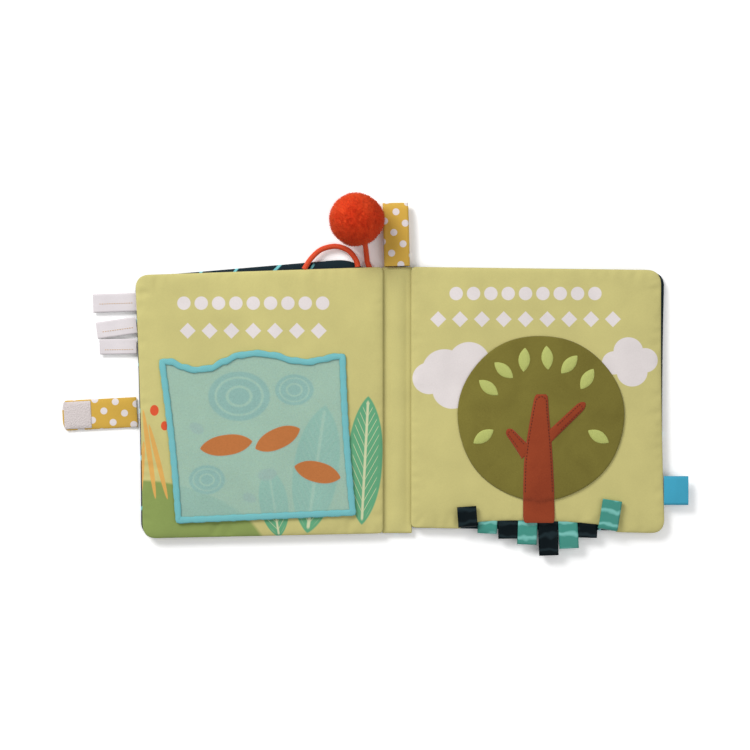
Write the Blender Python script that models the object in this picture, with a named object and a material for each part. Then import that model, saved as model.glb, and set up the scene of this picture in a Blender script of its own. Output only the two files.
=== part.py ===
"""Baby soft book, lying open at its middle spread: padded leaves, two flaps, ribbons, a pompom."""
import math

import bmesh
import bpy
from mathutils import Matrix, Vector

# Driving dimensions, in metres. X runs across the open book, Y up the page, Z up from the table.
GAP = 0.0003                  # clearance kept between neighbouring pieces
LEAF_THICK = 0.005            # a padded leaf at its crown
SEAM_THICK = 0.0015           # the same leaf at its sewn edge
REST_CUT = 0.0005             # depth to which the underside is cut flat where it rests
LEAF_GRID = 16                # faces along each side of a padded leaf
CROWN_POWER = 4.0             # how squarely a leaf's crown falls to its edges
CORNER_R = 0.010              # rounded outer corners of the leaves
DRAW_IN = 0.0012              # how far a leaf's sides are drawn in between corners

GUTTER_W = 0.021              # the sewn strip between the left and right leaves
HINGE_X = GUTTER_W / 2
HINGE_Z = 0.0055              # height of the fold lines beside the strip
SPINE_THICK = 0.0022          # outer strip, on the table
SPINE_END = 0.1040            # top end of both strips
STRIP_TOP = 0.0052            # top of the inner strip

COVER_Z = 0.0                 # underside of the cover leaves
PAGE_Z = LEAF_THICK - REST_CUT + GAP   # underside of the inner leaves
PAGE_TOP = PAGE_Z + LEAF_THICK
LEAF_X = HINGE_X + GAP        # inner edge of every leaf

# Each leaf's corners: inner bottom, inner top, outer top, outer bottom, as distances from the origin.
LEFT_PAGE = ((-LEAF_X, -0.104), (-LEAF_X, 0.104), (-0.2045, 0.0975), (-0.1985, -0.108))
RIGHT_PAGE = ((LEAF_X, -0.0995), (LEAF_X, 0.104), (0.2060, 0.1015), (0.2088, -0.104))
LEFT_COVER = ((-LEAF_X, -0.103), (-LEAF_X, 0.1075), (-0.2060, 0.0985), (-0.2030, -0.1065))
RIGHT_COVER = ((LEAF_X, -0.1000), (LEAF_X, 0.1030), (0.2090, 0.1000), (0.2080, -0.1025))
INNER_R = 0.003               # small corner beside the strip
COVER_TUCK_R = 0.034          # left cover's top corner beside the strip, cut away for the cord
PULL_X = (0.063, 0.161)       # stretch of the right page's lower edge drawn up by the ribbons
PULL = 0.0045

# Pond flap: a sheer panel in a stitched hem, hinged along its top.
FLAP_GAP = 0.0004
POND_CORNERS = ((-0.172, -0.095), (-0.184, 0.0300), (-0.037, 0.0340), (-0.030, -0.087))
POND_HEM_W = 0.0038
POND_PANEL_T = 0.0008
POND_HEM_T = 0.0014
POND_WAVE = 0.0035
POND_HINGE_X = -0.1105
POND_HINGE_Y = 0.0405
POND_STEPS = 24

# Tree flap: a round velour crown with a sewn trunk, branches and leaves, hinged along its top.
CROWN_C = (0.1115, -0.0150)
CROWN_R = (0.0645, 0.0640)
CROWN_EDGE_T = 0.0016
CROWN_T = 0.0032
CROWN_RINGS = 6
CROWN_SIDES = 40
TREE_HINGE_Y = 0.0495
TRUNK_T = 0.0016
TRUNK = ((-0.0050, 0.0045), (0.0050, 0.0045), (0.0058, -0.0250), (0.0085, -0.0560),
         (0.0122, -0.0905), (0.0105, -0.0950), (-0.0125, -0.0950), (-0.0140, -0.0900),
         (-0.0125, -0.0560), (-0.0100, -0.0250))
TRUNK_X = 0.1110
BRANCH_T = 0.0012
BRANCH_W = 0.0070
BRANCH_ENDS = (("branch_left", (0.0945, -0.0400), (0.0855, -0.0240)),
               ("branch_right", (0.1235, -0.0350), (0.1450, -0.0055)))
LEAF_LEN = 0.0165
LEAF_W = 0.0080
LEAF_T = 0.0006
LEAF_RING = 0.047             # sewn leaves lie on a ring this far from the crown's centre
LEAF_ANGLES = (40, 62, 84, 106, 128, 150, 198, 342)

# Headings about Z of a ribbon, which is made running up the page.
TOWARDS_READER = 180
TO_LEFT = 90
TO_RIGHT = -90

# Narrow goods sewn into the edges: lengths are what shows beyond the seam.
RIBBON_W = 0.0150
RIBBON_T = 0.0008
RIBBON_PITCH = 0.0156
RIBBON_Z = PAGE_Z + LEAF_THICK / 2
RIBBON_LOOP = 0.0012          # space between the two layers of a folded ribbon
RIBBON_X0 = 0.0550
RIBBON_DROPS = (None, 0.0095, 0.0140, 0.0185, 0.0265, 0.0205, 0.0110, None)
CURL_OUT = 0.0040             # first and last ribbons curl up over the page
CURL_BACK = (0.0095, 0.0150)
CURL_LIFT = 0.0013

TAB_T = 0.0014
TABS = ((0.0765, 0.0300, 0.0145, 2.0), (0.0585, 0.0275, 0.0130, 8.0), (0.0420, 0.0255, 0.0120, 1.0))
TAB_Z = 0.0018
TAB_X = -0.2085
LABEL_X = 0.2092
LABEL = (0.0705, 0.0190, 0.0225)   # distance below the middle, length and width of the blank side label

STRAP_LEN = 0.0545
STRAP_W = 0.0235
STRAP_T = 0.0016
STRAP_Y = -0.0095
STRAP_Z = 0.0013
STRAP_X = -0.2075
STRAP_LEAN = 3.0
PATCH_SIZE = 0.0215
PATCH_INSET = 0.0012
PATCH_T = 0.0010
MATE_POS = (0.1650, -0.0095)      # its mate, let into the underside of the right cover
POCKET_DEPTH = 0.0013

ROOT_PINCH = 0.35             # a folded ribbon's layers close up at the seam
ROOT_SHARE = 0.35

LOOP_W = 0.0200
LOOP_LEN = 0.0490
LOOP_BAND = 0.0012
LOOP_GAP = 0.0062
LOOP_Y = 0.1048
LOOP_LEAN = 1.5
LOOP_Z = 0.0049
LOOP_HINGE_Z = 0.0085         # it swings up about the top of its root

# Red cord: its arch over the cover's edge and its stretch to the pompom, as points of a smooth curve.
CORD_R = 0.0021
CORD_SIDES = 3
CORD_STEP = 0.0095
CURVE_STEPS = 12
ARCH_Z = 0.0060
ARCH = ((-0.0712, 0.1043, ARCH_Z), (-0.0670, 0.1105, 0.0052), (-0.0590, 0.1175, 0.0042),
        (-0.0480, 0.1200, 0.0038), (-0.0385, 0.1170, 0.0042), (-0.0330, 0.1110, 0.0052),
        (-0.0310, 0.1062, ARCH_Z))
POMPOM_LEAD = ((-0.0107, 0.0952, 0.0026), (-0.0137, 0.0952, 0.0026), (-0.0172, 0.0976, 0.0026),
               (-0.0205, 0.1020, 0.0026),
               (-0.0230, 0.1070, 0.0030), (-0.0238, 0.1130, 0.0055), (-0.0248, 0.1205, 0.0105))
POMPOM_C = (-0.0322, 0.1425, 0.0198)
POMPOM_SIDES = (18, 12)
POMPOM_R = 0.0203


def clear_scene():
    for item in list(bpy.data.objects):
        bpy.data.objects.remove(item, do_unlink=True)


def material(name, colour, roughness=0.9, metallic=0.0):
    mat = bpy.data.materials.get(name)
    if mat is None:
        mat = bpy.data.materials.new(name)
        mat.use_nodes = True
        shader = mat.node_tree.nodes["Principled BSDF"]
        shader.inputs["Base Color"].default_value = (*colour, 1.0)
        shader.inputs["Roughness"].default_value = roughness
        shader.inputs["Metallic"].default_value = metallic
    return mat


def add_object(name, bm, mat, smooth=True):
    bmesh.ops.recalc_face_normals(bm, faces=bm.faces)
    mesh = bpy.data.meshes.new(name)
    bm.to_mesh(mesh)
    bm.free()
    mesh.materials.append(mat)
    obj = bpy.data.objects.new(name, mesh)
    bpy.context.scene.collection.objects.link(obj)
    if smooth:
        mesh.shade_smooth()
        mesh.set_sharp_from_angle(angle=math.radians(35))
    return obj


def set_origin(obj, point):
    """Moves an object's origin to its joint's axis and leaves the mesh where it is."""
    offset = Vector(point)
    obj.data.transform(Matrix.Translation(-offset))
    obj.location = offset


def crown_at(u, v, power=CROWN_POWER):
    """Share of full thickness at u, v, each from -1 to 1 across a padded piece."""
    return max(0.0, 1 - abs(u) ** power) * max(0.0, 1 - abs(v) ** power)


def quad_point(corners, u, v):
    inner_low, inner_top, outer_top, outer_low = (Vector(c) for c in corners)
    s = (u + 1) / 2
    t = (v + 1) / 2
    inner = inner_low.lerp(inner_top, t)
    outer = outer_low.lerp(outer_top, t)
    return inner.lerp(outer, s)


def rounded(u, v, radii, half):
    """Pulls a point of the square grid in so that its ring follows the rounded corners."""
    reach = max(abs(u), abs(v))
    if reach < 1e-6:
        return u, v
    a = u / reach
    b = v / reach
    radius = radii[(0 if a < 0 else 1, 0 if b < 0 else 1)] / half
    over_a = abs(a) - (1 - radius)
    over_b = abs(b) - (1 - radius)
    scale = 1.0
    if over_a > 0 and over_b > 0:
        low, high = 0.5, 1.0
        for _ in range(24):
            scale = (low + high) / 2
            past = (max(0.0, abs(a) * scale - 1 + radius), max(0.0, abs(b) * scale - 1 + radius))
            dist = math.hypot(*past)
            low, high = (low, scale) if dist > radius else (scale, high)
    return u * scale, v * scale


def padded_leaf(name, corners, z_low, mat, outer_r=CORNER_R, tuck_r=INNER_R, rests=False, pull=0.0):
    """A padded leaf: crowned faces that fall to a thin sewn edge, with its sides drawn in."""
    half = 0.1
    radii = {(0, 0): INNER_R, (0, 1): tuck_r, (1, 0): outer_r, (1, 1): outer_r}
    mid = z_low + LEAF_THICK / 2 - (REST_CUT if rests else 0.0)
    bm = bmesh.new()
    bmesh.ops.create_grid(bm, x_segments=LEAF_GRID, y_segments=LEAF_GRID, size=1.0)
    tops = list(bm.verts)
    faces = list(bm.faces)
    places = {}
    for vert in tops:
        u, v = vert.co.x, vert.co.y
        ru, rv = rounded(u, v, radii, half)
        place = quad_point(corners, ru, rv)
        place.x -= math.copysign(DRAW_IN, place.x) * max(0.0, ru) ** 3 * (1 - rv * rv)
        if pull and v < 0 and PULL_X[0] < place.x < PULL_X[1]:
            share = (place.x - PULL_X[0]) / (PULL_X[1] - PULL_X[0])
            place.y += pull * math.sin(math.pi * share) ** 0.5 * (-v) ** 3
        places[vert.index] = (place, crown_at(u, v))
    copy = bmesh.ops.duplicate(bm, geom=tops + list(bm.edges) + faces)
    pairs = {v.index: copy["vert_map"][v] for v in tops}
    rims = [e for e in bm.edges if e.is_boundary]
    for index, (place, share) in places.items():
        rise = SEAM_THICK / 2 + (LEAF_THICK - SEAM_THICK) / 2 * share
        pairs[index].co = (place.x, place.y, max(mid - rise, z_low))
        tops[index].co = (place.x, place.y, mid + rise)
    bmesh.ops.bridge_loops(bm, edges=rims)
    return add_object(name, bm, mat)


def outline_plate(name, points, z_low, thick, mat):
    """A flat piece cut to an outline."""
    bm = bmesh.new()
    verts = [bm.verts.new((x, y, z_low)) for x, y in points]
    face = bm.faces.new(verts)
    rise = bmesh.ops.extrude_face_region(bm, geom=[face])
    lifted = [v for v in rise["geom"] if isinstance(v, bmesh.types.BMVert)]
    bmesh.ops.translate(bm, verts=lifted, vec=(0, 0, thick))
    return add_object(name, bm, mat, smooth=False)


def band(name, path, width, thick, mat, place, lean=0.0):
    """A ribbon: its side profile, as distance out and height, thickened and drawn out to its width."""
    bm = bmesh.new()
    near = []
    far = []
    for i, (out, up) in enumerate(path):
        before = Vector(path[max(i - 1, 0)])
        after = Vector(path[min(i + 1, len(path) - 1)])
        along = (after - before).normalized()
        side = Vector((-along.y, along.x)) * thick / 2
        near.append(Vector((out, up)) + side)
        far.append(Vector((out, up)) - side)
    verts = [bm.verts.new((-width / 2, p.x, p.y)) for p in near + far[::-1]]
    face = bm.faces.new(verts)
    made = bmesh.ops.extrude_face_region(bm, geom=[face])
    moved = [v for v in made["geom"] if isinstance(v, bmesh.types.BMVert)]
    bmesh.ops.translate(bm, verts=moved, vec=(width, 0, 0))
    turn = Matrix.Rotation(math.radians(lean), 4, "Z")
    bmesh.ops.transform(bm, matrix=Matrix.Translation(place) @ turn, verts=bm.verts)
    return add_object(name, bm, mat, smooth=False)


def loop_path(length, gap, turns=6):
    """A folded ribbon from the side: out along the lower layer, round the end and back."""
    radius = gap / 2
    path = [(0.0, -radius * ROOT_PINCH), (length * ROOT_SHARE, -radius)]
    for i in range(turns + 1):
        angle = -math.pi / 2 + math.pi * i / turns
        path.append((length - radius + radius * math.cos(angle), radius * math.sin(angle)))
    path += [(length * ROOT_SHARE, radius), (0.0, radius * ROOT_PINCH)]
    return path


def cord(name, route, mat):
    """A cord: a round tube along a smooth curve through its route's points."""
    points = [Vector(p) for p in route]
    dense = []
    for i in range(len(points) - 1):
        p0 = points[max(i - 1, 0)]
        p1, p2 = points[i], points[i + 1]
        p3 = points[min(i + 2, len(points) - 1)]
        for k in range(CURVE_STEPS):
            t = k / CURVE_STEPS
            dense.append(0.5 * (2 * p1 + (p2 - p0) * t + (2 * p0 - 5 * p1 + 4 * p2 - p3) * t * t
                                + (3 * p1 - p0 - 3 * p2 + p3) * t ** 3))
    dense.append(points[-1])
    total = sum((b - a).length for a, b in zip(dense, dense[1:]))
    count = max(4, round(total / CORD_STEP))
    picked = [dense[round(i * (len(dense) - 1) / count)] for i in range(count + 1)]
    curve = bpy.data.curves.new(name, "CURVE")
    curve.dimensions = "3D"
    curve.bevel_depth = CORD_R
    curve.bevel_resolution = CORD_SIDES
    curve.use_fill_caps = True
    spline = curve.splines.new("POLY")
    spline.points.add(len(picked) - 1)
    for target, p in zip(spline.points, picked):
        target.co = (*p, 1.0)
    curve.materials.append(mat)
    obj = bpy.data.objects.new(name, curve)
    bpy.context.scene.collection.objects.link(obj)
    print(name, "length", round(total, 4))
    return obj


def strip(name, z_low, z_high, y_low, y_high, mat):
    """A strip of the spine, with its upper edges eased."""
    ease = (z_high - z_low) / 3
    side = GUTTER_W / 2 - GAP
    profile = [(-side, z_low), (side, z_low), (side, z_high - ease), (side - ease, z_high),
               (-side + ease, z_high), (-side, z_high - ease)]
    bm = bmesh.new()
    face = bm.faces.new([bm.verts.new((x, y_low, z)) for x, z in profile])
    made = bmesh.ops.extrude_face_region(bm, geom=[face])
    moved = [v for v in made["geom"] if isinstance(v, bmesh.types.BMVert)]
    bmesh.ops.translate(bm, verts=moved, vec=(0, y_high - y_low, 0))
    return add_object(name, bm, mat, smooth=False)


def pond_edge(steps, inset):
    """The pond flap's outline, clockwise from its lower left; its top edge waves."""
    low_left, top_left, top_right, low_right = (Vector(c) for c in POND_CORNERS)
    points = []
    points.append((low_left.x + inset, low_left.y + inset))
    for i in range(steps + 1):
        t = i / steps
        p = top_left.lerp(top_right, t)
        wave = POND_WAVE * math.sin(2 * math.pi * (1.5 * t - 0.55)) * math.sin(math.pi * t)
        x = p.x + inset * (1 - 2 * t)
        points.append((x, p.y + wave - inset))
    points.append((low_right.x - inset, low_right.y + inset))
    return points


def pond_flap(sheer, trim):
    z_panel = PAGE_TOP + FLAP_GAP
    outline_plate("pond_panel", pond_edge(POND_STEPS, POND_HEM_W + GAP), z_panel, POND_PANEL_T, sheer)
    bm = bmesh.new()
    outer = [bm.verts.new((x, y, z_panel)) for x, y in pond_edge(POND_STEPS, 0.0)]
    inner = [bm.verts.new((x, y, z_panel)) for x, y in pond_edge(POND_STEPS, POND_HEM_W)]
    count = len(outer)
    ring = []
    for i in range(count):
        j = (i + 1) % count
        ring.append(bm.faces.new((outer[i], outer[j], inner[j], inner[i])))
    made = bmesh.ops.extrude_face_region(bm, geom=ring)
    moved = [v for v in made["geom"] if isinstance(v, bmesh.types.BMVert)]
    bmesh.ops.translate(bm, verts=moved, vec=(0, 0, POND_HEM_T))
    hem = add_object("pond_hem", bm, trim, smooth=False)
    set_origin(hem, (POND_HINGE_X, POND_HINGE_Y, z_panel + POND_HEM_T))


def crown_height(x, y):
    """Top of the tree's crown above a point of the page."""
    reach = math.hypot((x - CROWN_C[0]) / CROWN_R[0], (y - CROWN_C[1]) / CROWN_R[1])
    share = max(0.0, 1 - min(1.0, reach) ** CROWN_POWER)
    return PAGE_TOP + FLAP_GAP + CROWN_EDGE_T + (CROWN_T - CROWN_EDGE_T) * share


def tree_crown(mat):
    bm = bmesh.new()
    base = PAGE_TOP + FLAP_GAP
    bmesh.ops.create_circle(bm, cap_ends=True, segments=CROWN_SIDES, radius=1.0)
    bmesh.ops.scale(bm, vec=(CROWN_R[0], CROWN_R[1], 1), verts=bm.verts)
    bmesh.ops.translate(bm, vec=(CROWN_C[0], CROWN_C[1], base), verts=bm.verts)
    made = bmesh.ops.extrude_face_region(bm, geom=list(bm.faces))
    top = [v for v in made["geom"] if isinstance(v, bmesh.types.BMVert)]
    cap = [f for f in made["geom"] if isinstance(f, bmesh.types.BMFace)]
    bmesh.ops.translate(bm, verts=top, vec=(0, 0, CROWN_EDGE_T))
    for ring in range(1, CROWN_RINGS):
        step = CROWN_R[0] / CROWN_RINGS
        bmesh.ops.inset_region(bm, faces=cap, thickness=step, use_even_offset=True)
    for vert in bm.verts:
        if vert.co.z > base + CROWN_EDGE_T / 2:
            vert.co.z = crown_height(vert.co.x, vert.co.y)
    bmesh.ops.triangulate(bm, faces=bm.faces)
    crown = add_object("tree_crown", bm, mat)
    set_origin(crown, (CROWN_C[0], TREE_HINGE_Y, base + CROWN_T))


def on_crown(name, points, thick, mat):
    """A flat appliqué laid on the crown: it sits level, just clear of the crown's highest point."""
    z = PAGE_TOP + FLAP_GAP + CROWN_T + GAP
    return outline_plate(name, points, z, thick, mat)


def branch(name, start, end, mat):
    a, b = Vector(start), Vector(end)
    along = (b - a).normalized()
    side = Vector((-along.y, along.x)) * BRANCH_W / 2
    points = [a - side, a + side, b + side * 0.8]
    points += [b + along * BRANCH_W * 0.35, b - side * 0.8]
    on_crown(name, [(p.x, p.y) for p in points], BRANCH_T, mat)


def sewn_leaf(name, angle, mat, sides=7):
    centre = Vector(CROWN_C) + LEAF_RING * Vector((math.cos(angle), math.sin(angle)))
    along = Vector((math.cos(angle), math.sin(angle)))
    across = Vector((-along.y, along.x))
    points = []
    for edge in (1, -1):
        for i in range(sides):
            t = i / sides
            s = edge * (2 * t - 1) * LEAF_LEN / 2
            w = edge * LEAF_W / 2 * math.sin(math.pi * t) ** 0.8
            p = centre + along * s + across * w
            points.append((p.x, p.y))
    on_crown(name, points, LEAF_T, mat)


def ribbons(dark, light):
    for i, drop in enumerate(RIBBON_DROPS):
        x = RIBBON_X0 + i * RIBBON_PITCH
        mat = dark if i % 2 == 0 else light
        root_y = min(page_edge_y(x + share * RIBBON_W / 2) for share in (-1, 0, 1))
        place = (x, root_y - GAP, RIBBON_Z)
        if drop is None:
            back = CURL_BACK[0 if i == 0 else 1]
            rise = PAGE_TOP + CURL_LIFT - RIBBON_Z
            path = [(0, 0), (CURL_OUT * 0.6, 0.0002), (CURL_OUT, rise * 0.3), (CURL_OUT, rise * 0.7),
                    (CURL_OUT * 0.5, rise), (-back * 0.5, rise * 1.05), (-back, rise)]
        else:
            path = loop_path(drop, RIBBON_LOOP)
        band(f"ribbon_loop_{i + 1}", path, RIBBON_W, RIBBON_T, mat, place, TOWARDS_READER)


def page_edge_y(x):
    """Lower edge of the right page at x, drawn up where the ribbons are sewn in."""
    low, outer = RIGHT_PAGE[0], RIGHT_PAGE[3]
    y = low[1] + (outer[1] - low[1]) * (x - low[0]) / (outer[0] - low[0])
    share = (x - PULL_X[0]) / (PULL_X[1] - PULL_X[0])
    if 0 < share < 1:
        y += PULL * math.sin(math.pi * share) ** 0.5
    return y


def strap(mat, patch_mat):
    heading = TO_LEFT + STRAP_LEAN
    flat = [(0, 0), (STRAP_LEN * 0.5, 0), (STRAP_LEN, 0)]
    place = (STRAP_X, STRAP_Y, STRAP_Z + STRAP_T / 2)
    belt = band("closure_strap", flat, STRAP_W, STRAP_T, mat, (0, 0, 0), heading)
    belt.location = place
    spot = STRAP_LEN - PATCH_SIZE - PATCH_INSET
    patch_path = [(spot, 0), (spot + PATCH_SIZE / 2, 0), (spot + PATCH_SIZE, 0)]
    height = STRAP_T / 2 + GAP + PATCH_T / 2
    patch = band("strap_patch", patch_path, PATCH_SIZE, PATCH_T, patch_mat, (0, 0, height), heading)
    patch.location = place


def mate_patch(cover, mat):
    half = PATCH_SIZE / 2
    x, y = MATE_POS
    square = [(x - half, y - half), (x + half, y - half), (x + half, y + half), (x - half, y + half)]
    outline_plate("mating_patch", square, 0.0, PATCH_T, mat)
    bpy.ops.mesh.primitive_cube_add(size=1, location=(x, y, 0))
    cutter = bpy.context.object
    cutter.name = "pocket_cutter"
    cutter.scale = (PATCH_SIZE + 2 * GAP, PATCH_SIZE + 2 * GAP, 2 * POCKET_DEPTH)
    cutter.hide_render = True
    cutter.display_type = "WIRE"
    cut = cover.modifiers.new("pocket", "BOOLEAN")
    cut.operation = "DIFFERENCE"
    cut.solver = "EXACT"
    cut.object = cutter


def pompom(mat):
    bm = bmesh.new()
    around, rings = POMPOM_SIDES
    bmesh.ops.create_uvsphere(bm, u_segments=around, v_segments=rings, radius=POMPOM_R)
    bmesh.ops.translate(bm, vec=POMPOM_C, verts=bm.verts)
    cut = bmesh.ops.bisect_plane(bm, geom=bm.verts[:] + bm.edges[:] + bm.faces[:], plane_co=(0, 0, 0),
                                 plane_no=(0, 0, -1), clear_outer=True)
    rim = [e for e in cut["geom_cut"] if isinstance(e, bmesh.types.BMEdge)]
    bmesh.ops.holes_fill(bm, edges=rim, sides=0)
    add_object("pompom", bm, mat)


def main():
    clear_scene()
    olive = material("olive_cotton", (0.62, 0.57, 0.22), 0.85)
    navy = material("navy_cotton", (0.01, 0.03, 0.05), 0.8)
    sheer = material("sheer_aqua", (0.25, 0.55, 0.48), 0.6)
    aqua = material("aqua_thread", (0.10, 0.52, 0.60), 0.7)
    velour = material("moss_velour", (0.20, 0.17, 0.03), 0.95)
    bark = material("rust_velour", (0.33, 0.06, 0.02), 0.95)
    sprig = material("lime_thread", (0.60, 0.66, 0.18), 0.7)
    teal = material("teal_satin", (0.06, 0.38, 0.32), 0.35)
    ink = material("ink_satin", (0.01, 0.02, 0.03), 0.3)
    white = material("white_twill", (0.75, 0.70, 0.70), 0.9)
    gold = material("gold_dotted_cotton", (0.66, 0.42, 0.07), 0.85)
    red = material("red_plush", (0.75, 0.06, 0.01), 0.95)

    left_cover = padded_leaf("left_cover", LEFT_COVER, COVER_Z, navy, tuck_r=COVER_TUCK_R, rests=True)
    right_cover = padded_leaf("right_cover", RIGHT_COVER, COVER_Z, navy, rests=True)
    left_page = padded_leaf("left_page", LEFT_PAGE, PAGE_Z, olive)
    right_page = padded_leaf("right_page", RIGHT_PAGE, PAGE_Z, olive, pull=PULL)
    for leaf in (left_cover, left_page):
        set_origin(leaf, (-HINGE_X, 0.0, HINGE_Z))
    for leaf in (right_cover, right_page):
        set_origin(leaf, (HINGE_X, 0.0, HINGE_Z))
    strip("spine_cover", 0.0, SPINE_THICK, LEFT_PAGE[0][1], SPINE_END, navy)
    strip("gutter_strip", SPINE_THICK + GAP, STRIP_TOP, LEFT_PAGE[0][1], SPINE_END, olive)

    pond_flap(sheer, aqua)
    tree_crown(velour)
    trunk = [(TRUNK_X + x, y) for x, y in TRUNK]
    on_crown("tree_trunk", trunk, TRUNK_T, bark)
    for name, start, end in BRANCH_ENDS:
        branch(name, start, end, bark)
    for i, angle in enumerate(LEAF_ANGLES):
        sewn_leaf(f"sewn_leaf_{i + 1}", math.radians(angle), sprig)

    ribbons(ink, teal)
    for i, (y, length, width, lean) in enumerate(TABS):
        place = (TAB_X, y, TAB_Z + TAB_T / 2)
        path = [(0, 0), (length * 0.5, 0), (length, 0)]
        band(f"white_tab_{i + 1}", path, width, TAB_T, white, place, TO_LEFT + lean)
    below, length, width = LABEL
    label = [(0, 0), (length * 0.5, 0), (length, 0)]
    band("side_label", label, width, TAB_T, aqua, (LABEL_X, -below, RIBBON_Z), TO_RIGHT)
    strap(gold, white)
    mate_patch(right_cover, white)

    spine_loop = band("spine_loop", loop_path(LOOP_LEN, LOOP_GAP + LOOP_BAND), LOOP_W, LOOP_BAND, gold,
                      (0, 0, 0), LOOP_LEAN)
    spine_loop.location = (0.0, LOOP_Y, LOOP_Z)
    set_origin(spine_loop, (0.0, 0.0, LOOP_HINGE_Z - LOOP_Z))
    spine_loop.location = (0.0, LOOP_Y, LOOP_HINGE_Z)
    cord("cord_arch", ARCH, red)
    cord("pompom_cord", POMPOM_LEAD, red)
    pompom(red)


main()
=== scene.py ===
import math

import bmesh
import bpy
from mathutils import Matrix, Vector, noise
from mathutils.bvhtree import BVHTree


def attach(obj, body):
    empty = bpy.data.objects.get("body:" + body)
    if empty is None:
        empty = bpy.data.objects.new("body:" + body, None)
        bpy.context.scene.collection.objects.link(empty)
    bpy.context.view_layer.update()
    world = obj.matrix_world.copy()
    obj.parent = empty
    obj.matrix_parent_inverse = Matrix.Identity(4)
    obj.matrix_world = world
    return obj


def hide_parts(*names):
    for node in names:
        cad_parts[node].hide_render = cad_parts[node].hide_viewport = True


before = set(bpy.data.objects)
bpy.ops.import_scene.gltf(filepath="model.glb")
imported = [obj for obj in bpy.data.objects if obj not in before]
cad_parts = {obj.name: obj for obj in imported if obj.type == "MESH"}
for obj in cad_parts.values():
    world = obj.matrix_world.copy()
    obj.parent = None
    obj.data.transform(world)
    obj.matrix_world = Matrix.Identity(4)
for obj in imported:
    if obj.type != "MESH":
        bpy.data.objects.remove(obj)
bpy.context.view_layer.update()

# Photograph scale, used to place the camera and the printed shapes
photo = {
    "mmPerPixel": 0.782,        # real size of one pixel on the page
    "spine": (397, 400),        # pixel of the frame's origin
    "middle": (375, 375),
    "pixels": 750,
}


# World x, y of a pixel of the photograph
def at(px, py):
    scale = photo["mmPerPixel"] / 1000
    return (px - photo["spine"][0]) * scale, (photo["spine"][1] - py) * scale


def mm(value):
    return value / 1000


def addObject(name, data):
    obj = bpy.data.objects.new(name, data)
    bpy.context.scene.collection.objects.link(obj)
    return obj


# Camera first: straight above the open book
view = {"height": 2.2, "sensor": 36.0}


def makeCamera():
    cam = bpy.data.cameras.new("viewCamera")
    cam.sensor_width = view["sensor"]
    across = photo["pixels"] * mm(photo["mmPerPixel"])
    cam.lens = view["sensor"] * view["height"] / across
    cam.clip_end = 20
    obj = addObject("viewCamera", cam)
    x, y = at(*photo["middle"])
    obj.location = (x, y, view["height"])
    bpy.context.scene.camera = obj
    print("camera ready")


makeCamera()


def addMesh(name, bm, *materials, smooth=True):
    mesh = bpy.data.meshes.new(name)
    bm.to_mesh(mesh)
    bm.free()
    for mat in materials:
        mesh.materials.append(mat)
    obj = addObject(name, mesh)
    if smooth:
        mesh.shade_smooth()
    return obj


def finishPiece(obj, body, slot, *nodes):
    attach(obj, body)
    if nodes:
        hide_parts(*nodes)


# Bakes the modifiers into the mesh
def applyAll(obj):
    graph = bpy.context.evaluated_depsgraph_get()
    mesh = bpy.data.meshes.new_from_object(obj.evaluated_get(graph))
    old = obj.data
    obj.modifiers.clear()
    obj.data = mesh
    bpy.data.meshes.remove(old)


def subdivide(obj, levels):
    mod = obj.modifiers.new("smoother", "SUBSURF")
    mod.levels = levels
    mod.render_levels = levels


# Node helpers
def addNode(tree, kind, inputs=None, **settings):
    made = tree.nodes.new(kind)
    for key, value in settings.items():
        setattr(made, key, value)
    for key, value in (inputs or {}).items():
        if hasattr(value, "is_output"):
            tree.links.new(value, made.inputs[key])
        else:
            made.inputs[key].default_value = value
    return made


def mathNode(tree, operation, a, b=0.0, clamp=False):
    return addNode(tree, "ShaderNodeMath", {0: a, 1: b}, operation=operation, use_clamp=clamp).outputs[0]


def times(tree, a, b):
    return mathNode(tree, "MULTIPLY", a, b)


def plus(tree, a, b):
    return mathNode(tree, "ADD", a, b)


def axesOf(tree, vector):
    return addNode(tree, "ShaderNodeSeparateXYZ", {0: vector})


def noiseNode(tree, place, scale, detail, twist=0.0):
    inputs = {"Vector": place, "Scale": scale, "Detail": detail, "Distortion": twist}
    return addNode(tree, "ShaderNodeTexNoise", inputs).outputs[0]


def turnedBy(tree, place, degrees):
    return addNode(tree, "ShaderNodeVectorRotate", {"Vector": place, "Angle": math.radians(degrees)},
                   rotation_type="Z_AXIS").outputs[0]


def vectorNode(tree, operation, a, b=(0, 0, 0)):
    made = addNode(tree, "ShaderNodeVectorMath", {0: a, 1: b}, operation=operation)
    return made.outputs["Value" if operation == "LENGTH" else "Vector"]


def mixColour(tree, share, first, second):
    made = addNode(tree, "ShaderNodeMix", {0: share, 6: first, 7: second}, data_type="RGBA")
    return made.outputs[2]


def newGroup(name, inputs, *outputs):
    tree = bpy.data.node_groups.new(name, "ShaderNodeTree")
    for label, value in inputs.items():
        kind = "NodeSocketVector" if isinstance(value, tuple) else "NodeSocketFloat"
        tree.interface.new_socket(label, in_out="INPUT", socket_type=kind).default_value = value
    for label in outputs:
        tree.interface.new_socket(label, in_out="OUTPUT", socket_type="NodeSocketFloat")
    return tree, tree.nodes.new("NodeGroupInput"), tree.nodes.new("NodeGroupOutput")


# Coordinates of a printed shape: centred, turned and divided by its half sizes
def localPlace(tree, entry):
    shifted = vectorNode(tree, "SUBTRACT", entry.outputs["Vector"], entry.outputs["Centre"])
    turned = addNode(tree, "ShaderNodeVectorRotate", {"Vector": shifted, "Angle": entry.outputs["Turn"]},
                     rotation_type="Z_AXIS").outputs[0]
    flat = vectorNode(tree, "MULTIPLY", turned, (1, 1, 0))
    return vectorNode(tree, "DIVIDE", flat, entry.outputs["Half"])


placeInputs = {"Vector": (0, 0, 0), "Centre": (0, 0, 0), "Half": (0.01, 0.01, 1), "Turn": 0.0}


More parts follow.
